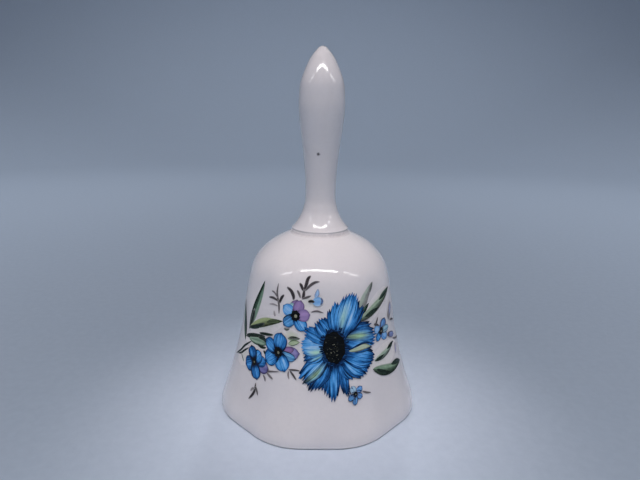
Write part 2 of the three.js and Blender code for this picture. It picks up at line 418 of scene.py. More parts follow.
def offset(points, distance):
    """A profile moved to its left by distance."""
    along = np.gradient(points, axis=0)
    along /= np.linalg.norm(along, axis=1)[:, None]
    return points + distance * np.stack([-along[:, 1], along[:, 0]], 1)


def smooth_step(value, low, high):
    share = np.clip((value - low) / (high - low), 0, 1)
    return share * share * (3 - 2 * share)


def outline_reach(angle, rounding):
    """Distance from the axis to an eight-sided outline whose rounded corners reach 1."""
    turn = (angle + HALF_SIDE) % (2 * HALF_SIDE) - HALF_SIDE
    centre = 1 - rounding
    flat = (centre * np.cos(HALF_SIDE) + rounding) / np.cos(turn)
    on_flat = flat * np.abs(np.sin(turn)) <= centre * np.sin(HALF_SIDE)
    from_corner = HALF_SIDE - np.abs(turn)
    across = centre * np.sin(from_corner)
    corner = centre * np.cos(from_corner) + np.sqrt(np.maximum(rounding**2 - across**2, 0))
    return np.where(on_flat, flat, corner)


def side_press(angle, height):
    """How far the pressed sides pull the wall in, with the slight waver of a cast piece."""
    fade = smooth_step(height, FACETS_END_Z, DOME_ROUND_Z)
    pressed = outline_reach(angle, CORNER_ROUNDING + (1 - CORNER_ROUNDING) * fade)
    slow = 0.0010 * np.sin(3 * angle + 90 * height + 0.6)
    quick = 0.0006 * np.sin(7 * angle - 160 * height + 2.1)
    return pressed * (1 + slow + quick)


def add_object(name, vertices, faces, material, body):
    mesh = bpy.data.meshes.new(name)
    mesh.from_pydata([tuple(v) for v in vertices], [], faces)
    mesh.materials.append(material)
    mesh.shade_smooth()
    piece = bpy.data.objects.new(name, mesh)
    bpy.context.scene.collection.objects.link(piece)
    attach(piece, body)
    return piece


def add_values(piece, name, values):
    """Keeps one number, or one vector, for each vertex under a name."""
    values = np.asarray(values, float)
    kind, slot = ("FLOAT", "value") if values.ndim == 1 else ("FLOAT_VECTOR", "vector")
    attribute = piece.data.attributes.new(name, kind, "POINT")
    attribute.data.foreach_set(slot, values.ravel())


def ring_faces(rows, columns, close_rows):
    """Quads between rows of columns; each row closes on itself."""
    faces = []
    for i in range(rows if close_rows else rows - 1):
        for j in range(columns):
            a, b = i * columns, (i + 1) % rows * columns
            k = (j + 1) % columns
            faces.append((a + j, a + k, b + k, b + j))
    return faces


def turned(name, profile, columns, material, body, press=None):
    """A closed profile turned about Z, up the outside and down the inside."""
    angles = np.linspace(0, 2 * np.pi, columns, endpoint=False)
    radius, height = profile[:, 0, None], profile[:, 1, None]
    if press is not None:
        radius = radius * press(angles[None, :], height)
    x, y = radius * np.cos(angles), radius * np.sin(angles)
    z = np.broadcast_to(height, x.shape)
    vertices = np.stack([x, y, z], -1).reshape(-1, 3)
    return add_object(name, vertices, ring_faces(len(profile), columns, True), material, body)


def wire(name, path, radius, body, closed=False, swell=None):
    """A round wire along a path. swell gives extra radius at each point, as a share."""
    count = len(path)
    if closed:
        along = np.roll(path, -1, 0) - np.roll(path, 1, 0)
    else:
        along = np.gradient(path, axis=0)
    along /= np.linalg.norm(along, axis=1)[:, None]
    flat = np.cross(along[0], along[count // 4])
    if np.linalg.norm(flat) < 1e-6:
        flat = np.cross(along[0], (0, 0, 1.0))
    flat /= np.linalg.norm(flat)
    scale = np.ones(count) if swell is None else 1 + swell
    if not closed:
        steps = np.minimum(np.arange(count), np.arange(count)[::-1])
        scale = scale * np.sqrt(1 - (1 - np.clip((steps + 0.6) / 3, 0, 1)) ** 2)
    turns = np.linspace(0, 2 * np.pi, WIRE_SIDES, endpoint=False)
    length = np.concatenate([[0], np.cumsum(np.linalg.norm(np.diff(path, axis=0), axis=1))])
    rings, strokes = [], []
    for i in range(count):
        side = np.cross(along[i], flat)
        ring = np.cos(turns)[:, None] * flat + np.sin(turns)[:, None] * side
        rings.append(path[i] + radius * scale[i] * ring)
        strokes.append(np.stack([np.full(WIRE_SIDES, length[i] / MM), turns, np.zeros(WIRE_SIDES)], 1))
    vertices = np.concatenate(rings)
    faces = ring_faces(count, WIRE_SIDES, closed)
    if not closed:
        last = (count - 1) * WIRE_SIDES
        faces.append(tuple(range(WIRE_SIDES))[::-1])
        faces.append(tuple(last + i for i in range(WIRE_SIDES)))
    piece = add_object(name, vertices, faces, STEEL, body)
    add_values(piece, "stroke", np.concatenate(strokes))
    return piece


def in_xz(radius, height, start, end, steps):
    flat = arc((0, height), radius, math.degrees(start), math.degrees(end), steps)
    return np.stack([flat[:, 0], np.zeros(len(flat)), flat[:, 1]], 1)


def on_axis(*heights):
    return np.array([(0, 0, height) for height in heights])


# ---------------------------------------------------------------- porcelain

GLAZE_WHITE = (0.80, 0.755, 0.755)
GLAZE_SHADE = (0.76, 0.72, 0.73)
GLAZE_FAULT = (-1.0 * MM, -6.0 * MM, 92.4 * MM)  # dark pit on the handle's front
BARE_Z = 0.25 * MM  # the foot ring is bare clay up to here

SHELL_OUTLINE = [
    (RIM_REACH, EDGE),
    (36.8 * MM, 4.5 * MM),
    (33.3 * MM, 15 * MM),
    (29.3 * MM, 30 * MM),
    (27.4 * MM, 42 * MM),
    (24.4 * MM, 53.2 * MM),
    (18.7 * MM, 60 * MM),
    (CROWN_RADIUS, CROWN_Z),
]

HANDLE_OUTLINE = [
    (LIP_RADIUS, LIP_Z),
    (8.85 * MM, 67.5 * MM),
    (7.25 * MM, 70.1 * MM),
    (6.1 * MM, 73.1 * MM),
    (5.4 * MM, 78 * MM),
    (6.05 * MM, 90 * MM),
    (7.85 * MM, 104.5 * MM),
    (7.95 * MM, 111 * MM),
    (7.2 * MM, 116.6 * MM),
    (4.45 * MM, 123 * MM),
    (1.8 * MM, 126.45 * MM),
    (0.75 * MM, 127.22 * MM),
    (0.02 * MM, TIP_Z),
]


def make_shell():
    outer = spline(SHELL_OUTLINE, 14)
    inner = offset(outer, SHELL_WALL)[::-1][3:-3]
    rim_out = arc((RIM_REACH - EDGE, EDGE), EDGE, -90, 0, 6)[:-1]
    rim_in = arc((inner[-1][0] + EDGE, EDGE), EDGE, 180, 270, 6)
    crown = [(CROWN_HOLE, CROWN_Z), (CROWN_HOLE, CROWN_Z - SHELL_WALL)]
    profile = np.vstack([rim_out, outer, crown, inner, rim_in])
    shell = turned("shell", profile, SHELL_COLUMNS, PORCELAIN, "bell", side_press)
    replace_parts(shell, "bell_shell")


def make_handle():
    outer = spline(HANDLE_OUTLINE, 12)
    lip = arc((LIP_RADIUS - 0.45 * MM, LIP_Z - 0.35 * MM), 0.42 * MM, -80, 30, 6)
    cavity = offset(outer, HANDLE_WALL)[::-1]
    cavity = cavity[(cavity[:, 0] > 0.4 * MM) & (cavity[:, 1] > LIP_Z + HANDLE_WALL)]
    top = [(0.02 * MM, cavity[0][1] + 0.3 * MM)]
    profile = np.vstack([top, cavity, [(HANDLE_MOUTH, HANDLE_FOOT_Z)], lip, outer])
    handle = turned("handle_grip", profile, HANDLE_COLUMNS, PORCELAIN, "bell")
    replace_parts(handle, "handle")


def make_seam():
    """Slip squeezed out of the joint and wiped to a small fillet, so its edge wavers."""
    low, high = CROWN_Z - 0.03 * MM, HANDLE_FOOT_Z + 0.05 * MM
    inside = HANDLE_MOUTH - 0.1 * MM
    fillet = [(10.9, 64.25), (10.6, 64.4), (10.38, 64.7), (10.24, 65.1), (10.16, 65.5), (9.9, 65.54)]
    fillet = np.array(fillet) * MM
    profile = np.vstack([[(inside, high), (inside, low)], fillet, [(fillet[-1][0], high)]])

    def waver(angle, _height):
        return 1 + 0.003 * np.sin(5 * angle + 1) + 0.002 * np.sin(13 * angle)

    seam = turned("seam_ring", profile, HANDLE_COLUMNS, slip_and_shade_material(), "bell", waver)
    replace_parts(seam, "handle_seam")


# ---------------------------------------------------------------- hanger, chain, clapper


def make_cement():
    """A lump pushed through the crown's hole and spread on both sides by a finger."""
    lower = [(3.0, 58.7), (3.9, 59.0), (4.6, 59.7), (5.1, 60.5), (5.35, 61.1), (5.2, 61.35)]
    middle = [(3.1, 61.45), (2.95, 61.9), (2.95, 64.0), (3.1, 64.45)]
    upper = [(5.2, 64.6), (5.3, 64.9), (4.9, 65.7), (4.3, 66.4), (3.2, 67.0), (1.6, 67.1)]
    bore = [(0.62, 66.9), (0.62, 58.9), (1.4, 58.65)]
    profile = np.array(lower + middle + upper + bore) * MM

    def lumps(angle, height):
        swell = np.sin(2 * angle + 1.1) + 0.7 * np.sin(5 * angle + 1500 * height)
        away = 1 - smooth_step(height, 61.0 * MM, 61.3 * MM) * (1 - smooth_step(height, 64.6 * MM, 64.9 * MM))
        return 1 + 0.025 * swell * away

    cement = turned("cement_plug", profile, 72, plaster_material(), "bell", lumps)
    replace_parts(cement, "hanger_cement")


def make_hanger_eye():
    eye = in_xz(PIN_EYE, PIN_EYE_Z, QUARTER - EYE_OPENING, EYE_SHOULDER - 3 * QUARTER, 40)
    rise = spline(np.vstack([eye[-2:], on_axis(58.5 * MM, 61 * MM)]), 8)[8:]
    bend = in_xz(PIN_BEND, PIN_BEND_Z, math.pi, QUARTER, 8) + np.array([PIN_BEND, 0, 0])
    tail = np.array([(2.2 * MM, 0, PIN_TAIL_Z), (3.4 * MM, 0, PIN_TAIL_Z)])
    straight = on_axis(62.5 * MM, 64.5 * MM, 66 * MM)
    path = np.vstack([eye[:-1], rise, straight, bend, tail])
    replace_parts(wire("eye", path, PIN_WIRE, "bell"), "hanger_eye")


def link_path(top, turned_quarter):
    """A long oval hung from its top, and a share that is 1 at the weld on its side."""
    end = arc((0, 0), LINK_WIDTH / 2, 0, 180, 16)
    run = (LINK_LENGTH - LINK_WIDTH) / 2
    side = np.linspace(-run, run, 9)[1:-1]
    up = np.stack([np.full(len(side), LINK_WIDTH / 2), side], 1)
    flat = np.vstack([up, end + (0, run), up * (-1, -1), -end - (0, run)])
    x, z = flat[:, 0], flat[:, 1] + top - LINK_LENGTH / 2
    zero = np.zeros(len(x))
    path = np.stack([zero, x, z], 1) if turned_quarter else np.stack([x, zero, z], 1)
    weld = np.exp(-(((flat[:, 1]) / (0.45 * MM)) ** 2)) * (flat[:, 0] > 0)
    return path, weld


def make_chain():
    for i, top in enumerate(LINK_TOPS):
        path, weld = link_path(top, i % 2 == 0)
        name = f"link_{i + 1}"
        link = wire(name + "_wire", path, CHAIN_WIRE * 0.98, name, closed=True, swell=0.14 * weld)
        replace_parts(link, f"chain_link_{i + 1}")


def make_clapper():
    eye = in_xz(CLAPPER_EYE, CLAPPER_EYE_Z, EYE_OPENING - QUARTER, 3 * QUARTER - EYE_SHOULDER, 36)
    fall = spline(np.vstack([eye[-2:], on_axis(35.95 * MM, 33 * MM)]), 8)[8:]
    shank = on_axis(*np.linspace(31, 10, 15) * MM)
    curl = in_xz(CURL_RADIUS, CURL_Z, QUARTER - EYE_SHOULDER, EYE_OPENING - 3 * QUARTER, 28)
    into = spline(np.vstack([shank[-1:], on_axis(8.6 * MM), curl[:2]]), 6)[:-6]
    path = np.vstack([eye[:-1], fall, shank[:-1], into, curl[1:]])
    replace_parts(wire("clapper_shank", path, CHAIN_WIRE, "clapper"), "clapper_wire")


def make_bead():
    """Pressed in two halves: a faint belt round the middle and worn lips at the bore."""
    low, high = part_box("clapper_bead")
    middle = (low.z + high.z) / 2
    radius = high.x
    end = math.degrees(math.acos((BEAD_BORE + 0.35 * MM) / radius))
    ball = arc((0, middle), radius - 0.06 * MM, -end, end, 56)
    belt = 0.06 * MM * np.exp(-(((ball[:, 1] - middle) / (0.35 * MM)) ** 2))
    ball[:, 0] += belt
    top, bottom = ball[-1], ball[0]
    lip_top = [(BEAD_BORE + 0.1 * MM, top[1] - 0.02 * MM), (BEAD_BORE, top[1] - 0.25 * MM)]
    lip_bottom = [(BEAD_BORE, bottom[1] + 0.25 * MM), (BEAD_BORE + 0.1 * MM, bottom[1] + 0.02 * MM)]
    profile = np.vstack([ball, lip_top, lip_bottom])
    glaze = glaze_material("bead_glaze", (0.76, 0.73, 0.70), (0.68, 0.65, 0.62))
    bead = turned("bead", profile, 96, glaze, "bead")
    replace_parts(bead, "clapper_bead")


# ---------------------------------------------------------------- print
# Marks are laid out flat in mm: across, from the middle of the front to the right, and
# up, from the foot. Each is then wrapped on the shell. Marks made later lie on top.

OUTLINE = spline(SHELL_OUTLINE, 14)


def wrapped(across, up, lift):
    """Places on the shell's outside, lifted off it by a little."""
    height = up * MM

    def place(across, height):
        reach = np.interp(height, OUTLINE[:, 1], OUTLINE[:, 0])
        angle = FRONT + across * MM / (PRINT_REACH * reach)
        radius = reach * side_press(angle, height)
        return np.stack([radius * np.cos(angle), radius * np.sin(angle), height], -1)

    here = place(across, height)
    step = 0.05
    right = place(across + step, height) - place(across - step, height)
    above = place(across, height + step * MM) - place(across, height - step * MM)
    out = np.cross(right, above)
    return here + lift * out / np.linalg.norm(out, axis=-1, keepdims=True)


class Sheet:
    """Marks that are printed in one ink, gathered into one mesh."""

    level = 0  # of the next mark, shared by all sheets; each group of marks sets its own

    def __init__(self, name, material):
        self.name = name
        self.material = material
        self.points, self.faces = [], []
        self.values = {"tone": [], "tint": [], "wash": [], "stroke": []}
        self.count = 0

    def add(self, across, up, tone, tint, wash, stroke=None):
        """A grid of points: rows run along the mark, columns across it."""
        rows, columns = across.shape
        lift = PRINT_LIFT + INK_STEP * Sheet.level
        Sheet.level += 1
        self.points.append(wrapped(across, up, lift).reshape(-1, 3))
        for i in range(rows - 1):
            for j in range(columns - 1):
                a = self.count + i * columns + j
                self.faces.append((a, a + columns, a + columns + 1, a + 1))
        self.count += rows * columns
        for name, value in (("tone", tone), ("tint", tint), ("wash", wash)):
            self.values[name].append((np.zeros(across.shape) + value).ravel())
        if stroke is None:
            stroke = (across, up)
        flat = np.stack([stroke[0], stroke[1], np.full(across.shape, STROKE_APART * Sheet.level)], -1)
        self.values["stroke"].append(flat.reshape(-1, 3))

    def finish(self):
        piece = add_object(self.name, np.concatenate(self.points), self.faces, self.material, "bell")
        for name, parts in self.values.items():
            add_values(piece, name, np.concatenate(parts))


def grid(rows, columns):
    return np.meshgrid(np.linspace(0, 1, rows), np.linspace(-1, 1, columns), indexing="ij")


def laid(start, degrees, forward, sideways):
    """Turns distances along and across a mark into places on the flat layout."""
    angle = math.radians(degrees)
    across = start[0] + forward * math.cos(angle) - sideways * math.sin(angle)
    up = start[1] + forward * math.sin(angle) + sideways * math.cos(angle)
    return across, up


def spot(x, y, at, size):
    """1 at a place and fading round it."""
    return np.exp(-((x - at[0]) ** 2 + (y - at[1]) ** 2) / size**2)


def fringed_petal(
    sheet,
    start,
    degrees,
    length,
    width,
    teeth,
    tone,
    glow=0,
    tint=0,
    bend=0,
    deep=0.3,
    root=0.42,
    rag=1,
    tint_at=(0.45, 0.3),
):
    """A petal that fans out to a ragged end. width is half its widest. tone is its middle,
    glow lightens a streak up it, and deep darkens its end, its sides and its folds."""
    chance = np.random.default_rng(int(degrees * 7 + 10 * length) % 9973)
    u, v = grid(30, 10 * teeth + 11)
    cuts = np.linspace(-1, 1, teeth + 1) + chance.uniform(-0.22, 0.22, teeth + 1) / teeth
    cuts[0], cuts[-1] = -1.001, 1.001
    tooth = np.clip(np.searchsorted(cuts, v) - 1, 0, teeth - 1)
    share = (v - cuts[tooth]) / (cuts[tooth + 1] - cuts[tooth])
    lean = chance.uniform(0.3, 0.7, teeth)[tooth]
    point = np.where(share < lean, share / lean, (1 - share) / (1 - lean))
    depth = rag * chance.uniform(0.06, 0.15, teeth)[tooth]
    tall = rag * chance.uniform(0.0, 0.06, teeth)[tooth]
    reach = length * (1 - 0.15 * v**2 - tall) * (1 - depth * (1 - point**1.2))
    forward = u * reach
    fan = width * (0.26 + 0.74 * smooth_step(u, -0.2, 0.72)) * (1 - 0.2 * smooth_step(u, 0.7, 1.05))
    sideways = v * fan + bend * u**2
    across, up = laid(start, degrees, forward, sideways)
    value = tone - root * (1 - smooth_step(u, 0.15, 0.52))
    value = value - deep * smooth_step(u, 0.70, 1.0) * (0.35 + 0.65 * point)
    value = value - 0.8 * deep * smooth_step(np.abs(v), 0.66, 1.0)
    fold = smooth_step(point, 0.45, 0.0) * smooth_step(u, 0.35, 0.8)
    value = value - 0.75 * deep * fold
    value = value + glow * spot(u, v, (0.60, chance.uniform(-0.2, 0.3)), 0.32)
    for _ in range(4):
        pitch, phase, turn = chance.uniform(3, 14), chance.uniform(0, 6.3), chance.uniform(-2, 2)
        value = value + 0.06 * np.sin(pitch * v + phase + turn * u) * smooth_step(u, 0.1, 0.4)
    lean_to = tint * spot(u, v, tint_at, 0.30)
    sheet.add(across, up, value, lean_to, 0, (forward, v * width))


def round_petal(sheet, centre, degrees, length, width, tone, tint, wash=0):
    """A rounded petal from a small flower's middle, dark at its root and its outline."""
    u, v = grid(18, 13)
    forward = length * u * (1 - 0.06 * v**2)
    half = np.where(u < 0.62, (u - 0.62) / 0.66, (u - 0.62) / 0.385)
    fan = width / 2 * np.sqrt(np.clip(1 - half**2, 0.01, 1))
    across, up = laid(centre, degrees, forward, v * fan)
    value = tone + 0.16 * spot(u, v, (0.60, 0.25), 0.34) - 0.42 * smooth_step(u, 0.80, 1.0)
    value = value - 0.42 * smooth_step(np.abs(v), 0.62, 1.0) - 0.6 * (1 - smooth_step(u, 0.08, 0.45))
    value = value + 0.05 * np.sin(7 * v + 0.1 * degrees)
    sheet.add(across, up, value, tint, wash, (forward, v * width / 2))


def leaf(sheet, start, end, width, tone, dark_side, bend, tint=0, wash=0, fade=0.35):
    """A lance leaf. dark_side is 1 where its left half is in shade, -1 for its right."""
    u, v = grid(26, 9)
    span = (end[0] - start[0], end[1] - start[1])
    length = math.hypot(*span)
    degrees = math.degrees(math.atan2(span[1], span[0]))
    belly = width / 2 * np.sin(np.pi * np.clip(u, 0, 1) ** 0.85) ** 0.8
    sideways = v * belly + bend * np.sin(np.pi * u)
    across, up = laid(start, degrees, length * u, sideways)
    shade = smooth_step(dark_side * v, -0.35, 0.75) if dark_side else smooth_step(np.abs(v), 0.5, 1)
    vein = 0.3 * np.exp(-((v / 0.16) ** 2)) * (1 - u)
    value = tone * (1 - 0.95 * shade) - vein - 0.3 * smooth_step(u, 0.7, 1.0)
    thin = wash + fade * smooth_step(np.abs(v), 0.75, 1.0) * (1 - shade)
    sheet.add(across, up, value, tint, np.clip(thin, 0, 1), (length * u, v * width / 2))


def brush_line(sheet, points, width, tone, wash=0.0, fade=1):
    """A thin stroke through points, pressed in its middle and lifted at both ends."""
    path = spline(points, 6)
    along = np.gradient(path, axis=0)
    along /= np.linalg.norm(along, axis=1)[:, None]
    share = np.linspace(0, 1, len(path))
    half = width / 2 * np.sin(np.pi * (0.08 + 0.88 * share)) ** 0.7
    v = np.linspace(-1, 1, 5)
    across = path[:, 0, None] - along[:, 1, None] * half[:, None] * v
    up = path[:, 1, None] + along[:, 0, None] * half[:, None] * v
    ends = 0.3 * smooth_step(np.abs(share - 0.5), 0.3, 0.5)[:, None]
    edges = 0.15 * np.abs(v)[None, :] ** 2
    sheet.add(across, up, tone, 0, np.clip(wash + fade * (ends + edges), 0, 1))


def disc(sheet, centre, half_width, half_height, lean, tone, ragged=0.05, tint=0, wash=0):
    """A filled round or oval mark with an uneven edge."""
    share, turn = np.meshgrid(np.linspace(0.02, 1, 12), np.linspace(0, 2 * np.pi, 49), indexing="ij")
    edge = 1 + ragged * (np.sin(7 * turn + centre[0]) + 0.6 * np.sin(12 * turn + centre[1]))
    x = half_width * share * edge * np.cos(turn)
    y = half_height * share * edge * np.sin(turn)
    across, up = laid(centre, lean, x, y)
    sheet.add(across[::-1], up[::-1], tone, tint, wash)


def soft_patch(sheet, centre, half_width, half_height, lean, tone, tint, strength):
    """A pale cloud of ink that fades out before its edge."""
    share, turn = np.meshgrid(np.linspace(0.02, 1, 10), np.linspace(0, 2 * np.pi, 33), indexing="ij")
    across, up = laid(centre, lean, half_width * share * np.cos(turn), half_height * share * np.sin(turn))
    wash = 1 - strength * (1 - smooth_step(share, 0.1, 1.0))
    sheet.add(across[::-1], up[::-1], tone, tint, wash[::-1])


PETAL_INK = [
    (0.0, (0.002, 0.010, 0.035)),
    (0.2, (0.008, 0.060, 0.20)),
    (0.42, (0.025, 0.18, 0.50)),
    (0.62, (0.080, 0.36, 0.78)),
    (0.82, (0.22, 0.50, 0.86)),
    (1.0, (0.42, 0.64, 0.88)),
]
LEAF_INK = [
    (0.0, (0.008, 0.018, 0.012)),
    (0.3, (0.05, 0.095, 0.065)),
    (0.6, (0.20, 0.32, 0.23)),
    (1.0, (0.52, 0.62, 0.48)),
]
SPRIG_INK = [(0.0, (0.012, 0.010, 0.012)), (0.5, (0.09, 0.07, 0.08)), (1.0, (0.35, 0.29, 0.33))]
SEED_INK = [(0.0, (0.001, 0.002, 0.003)), (0.5, (0.02, 0.022, 0.018)), (1.0, (0.30, 0.30, 0.22))]
TEAL_TINT = (0.42, 0.66, 0.42)
OLIVE_TINT = (0.40, 0.46, 0.18)
PLUM_TINT = (0.32, 0.19, 0.40)


def print_washes(sheet):
    Sheet.level = 0
    soft_patch(sheet, (-20, 36.5), 9, 3, 25, 0.9, 0, 0.30)
    soft_patch(sheet, (-9, 35.5), 3.5, 2.5, 0, 1.0, 0.5, 0.5)
    soft_patch(sheet, (-3, 46.5), 5, 2.5, 10, 1.0, 0, 0.25)
    soft_patch(sheet, (21, 43), 8, 3.2, 35, 0.95, 0, 0.35)
    soft_patch(sheet, (26, 25), 8, 4, 10, 0.9, 0, 0.25)
    soft_patch(sheet, (-24, 30), 7, 3, 10, 0.9, 0, 0.3)
    soft_patch(sheet, (-31, 23), 5, 3, 35, 0.9, 0, 0.25)


def print_leaves(sheet):
    # left of the flowers
    leaf(sheet, (-31.0, 28.0), (-33.4, 41.5), 2.6, 0.35, -1, 0.1)
    leaf(sheet, (-28.9, 32.4), (-20.6, 51), 3.0, 0.58, 1, 0.1)
    brush_line(sheet, [(-28.7, 33.2), (-27.0, 36.8), (-25.9, 40.4)], 1.7, 0.0)
    leaf(sheet, (-28.5, 33.2), (-12.2, 39.9), 3.0, 0.75, -1, 0.8, 0.75)
    brush_line(sheet, [(-28.6, 33.2), (-24.5, 34.7), (-20.5, 36.9)], 1.5, 0.0, fade=0.3)
    leaf(sheet, (-19.5, 37.6), (-12.2, 39.9), 1.5, 0.25, 0, 0.2, 0.4)
    leaf(sheet, (-30.6, 29.6), (-22.5, 31.2), 1.4, 0.1, 0, 0.3)
    leaf(sheet, (-28.5, 29.6), (-18.5, 30.5), 3.3, 0.75, 0, 0.2)
    brush_line(sheet, [(-30.2, 30.0), (-26.0, 31.3), (-20.0, 32.6)], 1.3, 0.0, fade=0.3)
    brush_line(sheet, [(-23, 32.9), (-19.5, 33.6), (-16, 34.4)], 1.0, 0.0, fade=0.5)
    brush_line(sheet, [(-23.5, 31.4), (-20.6, 31.7), (-19, 30.8)], 1.4, 0.0, fade=0.3)
    brush_line(sheet, [(-24, 28.9), (-21.5, 28.7), (-19.3, 29.2)], 1.0, 0.0, fade=0.3)
    brush_line(sheet, [(-20.5, 27.8), (-19.0, 27.2), (-17.6, 27.4)], 1.2, 0.0, fade=0.3)
    brush_line(sheet, [(-27.3, 28.8), (-31, 26.2), (-34, 23.6), (-38, 21)], 0.8, 0.0, fade=0.5)
    brush_line(sheet, [(-28.5, 26.3), (-31, 24.6), (-33.2, 23), (-36, 21.8)], 0.7, 0.0, fade=0.5)
    brush_line(sheet, [(-33, 23), (-31.8, 21.9), (-30.8, 21.0)], 0.6, 0.15, 0.2)
    # between the small flowers
    leaf(sheet, (-10.4, 34.6), (-6.3, 34.9), 1.6, 0.6, 1, 0.0, 0.3)
    brush_line(sheet, [(-10.2, 34.9), (-8.4, 34.7), (-6.8, 34.9)], 0.6, 0.1, 0.1)
    leaf(sheet, (-10.2, 32.8), (-6.4, 33.8), 1.8, 0.95, 0, 0.1, 0.3)
    brush_line(sheet, [(-11.8, 37.7), (-10.8, 37.4), (-9.8, 37.9)], 0.8, 0.05, 0.1)
    # right of the big flower
    leaf(sheet, (12.4, 40.3), (19.2, 51.4), 3.6, 0.66, -1, 0.7, 0, 0.3)
    brush_line(sheet, [(17.9, 48), (18.5, 49.6), (19.2, 51.2)], 1.2, 0.1, 0.1)
    leaf(sheet, (11.8, 39.9), (17.6, 44.8), 2.2, 0.3, -1, 0.2)
    leaf(sheet, (12, 40.0), (29.6, 47.2), 3.4, 0.72, -1, -1.0, 0.15, 0.05)
    leaf(sheet, (15.5, 40.9), (22.8, 42.1), 1.5, 0.12, 0, -0.1)
    leaf(sheet, (23, 44.4), (29.6, 47.2), 1.7, 0.3, -1, 0.3)
    leaf(sheet, (20.3, 24.9), (31.8, 28), 2.4, 0.8, -1, -0.9, 0, 0.1)
    leaf(sheet, (20.8, 24.8), (25.8, 25.4), 1.2, 0.08, 0, -0.2)
    leaf(sheet, (27.5, 26.6), (31.8, 27.9), 1.3, 0.12, 0, 0.1)
    leaf(sheet, (19.4, 22.6), (36.6, 19.8), 3.6, 0.62, -1, -1.3, 0.1)
    leaf(sheet, (21.4, 21.9), (29, 18.8), 1.5, 0.06, 0, -0.5)
    leaf(sheet, (29.5, 21.0), (36.4, 19.8), 1.7, 0.1, 0, 0.3)


def print_sprigs(sheet):
    Sheet.level = 8
    strokes = [
        # left, above the long leaf
        ([(-13.8, 42), (-13.9, 44.8), (-14.7, 48.2), (-14.2, 51.5)], 0.9, 0.15, 0.1),
        ([(-14.1, 45.9), (-16.3, 46.4), (-18.7, 46.1)], 0.9, 0.1, 0.05),
        ([(-14.4, 46.9), (-15.8, 48.2), (-17.2, 48.5)], 0.7, 0.25, 0.15),
        ([(-13.7, 45.3), (-13.0, 47.0), (-11.9, 48.4)], 1.0, 0.1),
        ([(-14.2, 44.3), (-16.2, 44.4), (-18.4, 43.9)], 0.6, 0.5, 0.3),
        ([(-15.9, 42.5), (-15.6, 41.3), (-15.2, 40.8)], 0.9, 0.6, 0.35),
        # middle, above the first small flower
        ([(-10.9, 50.9), (-9.4, 49.9), (-8.6, 48.3), (-8.7, 47.2)], 1.2, 0.1),
        ([(-7.4, 50.4), (-6.8, 49.4), (-6.3, 48.0)], 0.8, 0.2, 0.1),
        ([(-6.6, 52.6), (-5.9, 51.6), (-5.5, 50.3)], 1.0, 0.15),
        ([(-5.3, 49.9), (-4.5, 52.2), (-3.9, 54.0), (-3.0, 54.9)], 1.1, 0.15),
        ([(-4.9, 50.3), (-3.4, 51.9), (-1.8, 53.0), (-0.2, 53.3)], 0.9, 0.2, 0.05),
        ([(-5.7, 47.6), (-5.3, 49.0), (-5.1, 50.8)], 1.0, 0.2),
        ([(-5.9, 47.8), (-4.4, 48.3), (-2.9, 48.9)], 0.8, 0.2, 0.1),
        ([(-2.9, 43.6), (-1, 44.0), (1.2, 43.4)], 0.6, 0.3, 0.1),
        # below the small flowers
        ([(-20.6, 21.4), (-17.2, 22.4), (-13.4, 23.3)], 0.6, 0.3, 0.1),
        ([(-18.6, 21.8), (-17, 21.0), (-15.6, 20.4)], 0.9, 0.3, 0.15),
        ([(-20.1, 20.4), (-19.2, 19.7), (-18.9, 18.7)], 0.9, 0.3, 0.15),
        ([(-23.6, 16.6), (-24.2, 13.6), (-26.9, 10.6)], 1.0, 0.15),
        ([(-23.8, 15.6), (-22.9, 14.6), (-22.2, 13.2)], 0.9, 0.2, 0.1),
        ([(-24.0, 14.8), (-25.2, 14.3), (-26.2, 13.2)], 0.8, 0.4, 0.25),
        ([(-10.0, 24.6), (-8.0, 24.7), (-6.3, 24.6)], 0.6, 0.2, 0.05),
        ([(-9.6, 24.4), (-8.4, 23.0), (-7.4, 21.6)], 0.7, 0.2, 0.05),
        ([(-10.0, 24.2), (-10.1, 22.9), (-9.8, 21.6)], 0.6, 0.5, 0.2),
        # right side
        ([(20.3, 37.0), (21.4, 36.9), (22.4, 39.0)], 0.9, 0.15, 0.05),
        ([(20.6, 36.5), (21.8, 36.5), (23.2, 35.6)], 0.8, 0.15, 0.05),
        ([(29.7, 35.9), (31.2, 35.6), (33, 34.9)], 0.7, 0.1, 0.05),
        ([(31.5, 28.9), (34.5, 27.9), (38, 27.2)], 0.7, 0.2, 0.1),
        ([(14.6, 17.2), (16.2, 16.4), (18.2, 15.8)], 0.6, 0.3, 0.1),
    ]
    for stroke in strokes:
        brush_line(sheet, *stroke)


def small_flower(sheet, seeds, centre, petals, eye=1.25):
    """petals: direction in degrees, length, width, tone, tint, wash."""
    for degrees, length, width, tone, tint, wash in petals:
        round_petal(sheet, centre, degrees, length, width, tone, tint, wash)
    disc(seeds, centre, eye, eye * 1.15, 0, 0.1, 0.08)
    disc(seeds, (centre[0] + 0.1, centre[1] - 0.1), 0.27 * eye, 0.29 * eye, 0, 0.85, 0.1)


